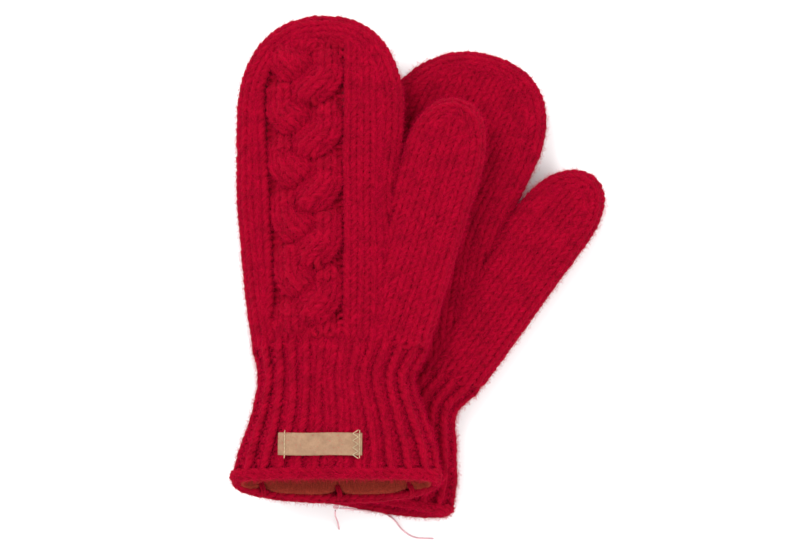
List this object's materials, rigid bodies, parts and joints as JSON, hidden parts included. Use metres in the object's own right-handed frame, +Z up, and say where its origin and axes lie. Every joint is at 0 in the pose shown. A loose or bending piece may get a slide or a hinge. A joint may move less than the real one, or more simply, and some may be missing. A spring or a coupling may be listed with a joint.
{
  "type": "knitted mittens",
  "caption": "Pair of cable-knit wool mittens with fleece linings, ribbed flared cuffs and small leather cuff labels, laid flat and fanned.",
  "frame": {"origin": "on the table, under the centre of the outline of the pair without its loose yarn ends", "axes": "+Y towards the fingertips of the upper mitten, +Z up from the table, +X to the side of the thumbs"},
  "size_m": [0.2096, 0.2966, 0.0562],
  "materials": {
    "wool": "brushed, slightly felted wool yarn",
    "fleece": "matt short-pile fleece",
    "leather": "matt undyed leather",
    "stitch_thread": "twisted sewing thread",
    "tail_yarn": "thin loose yarn"
  },
  "bodies": {
    "right_mitten": {"right_cuff_edge": "wool", "right_cuff_rib": "wool", "right_hand_shell": "wool", "right_cable_plait": "wool", "right_cuff_lining": "fleece", "right_hand_lining": "fleece", "right_label": "leather", "right_label_stitch_outer": "stitch_thread", "right_label_stitch_inner": "stitch_thread", "right_lining_tack_1": "wool", "right_lining_tack_2": "wool", "right_lining_tack_3": "wool"},
    "right_thumb": {"right_thumb_shell": "wool", "right_thumb_lining": "fleece"},
    "left_mitten": {"left_cuff_edge": "wool", "left_cuff_rib": "wool", "left_hand_shell": "wool", "left_cable_plait": "wool", "left_cuff_lining": "fleece", "left_hand_lining": "fleece", "left_label": "leather", "left_label_stitch_outer": "stitch_thread", "left_label_stitch_inner": "stitch_thread", "left_lining_tack_1": "wool", "left_lining_tack_2": "wool", "left_lining_tack_3": "wool", "left_tail_knot": "tail_yarn", "left_yarn_tail": "tail_yarn", "left_short_end": "tail_yarn"},
    "left_thumb": {"left_thumb_shell": "wool", "left_thumb_lining": "fleece"}
  },
  "joints": [
    {"name": "left_lift", "type": "slide", "parent": "right_mitten", "child": "left_mitten", "axis": [0, 0, 1], "range_m": [0, 0.09]},
    {"name": "left_thumb_swing", "type": "hinge", "parent": "left_mitten", "child": "left_thumb", "pos_m": [-0.00315, 0.0058, 0.04], "axis": [0, 0, -1], "range_deg": [-3, 22]},
    {"name": "right_thumb_swing", "type": "hinge", "parent": "right_mitten", "child": "right_thumb", "pos_m": [0.04427, -0.01807, 0.0145], "axis": [0, 0, -1], "range_deg": [-3, 25]}
  ]
}
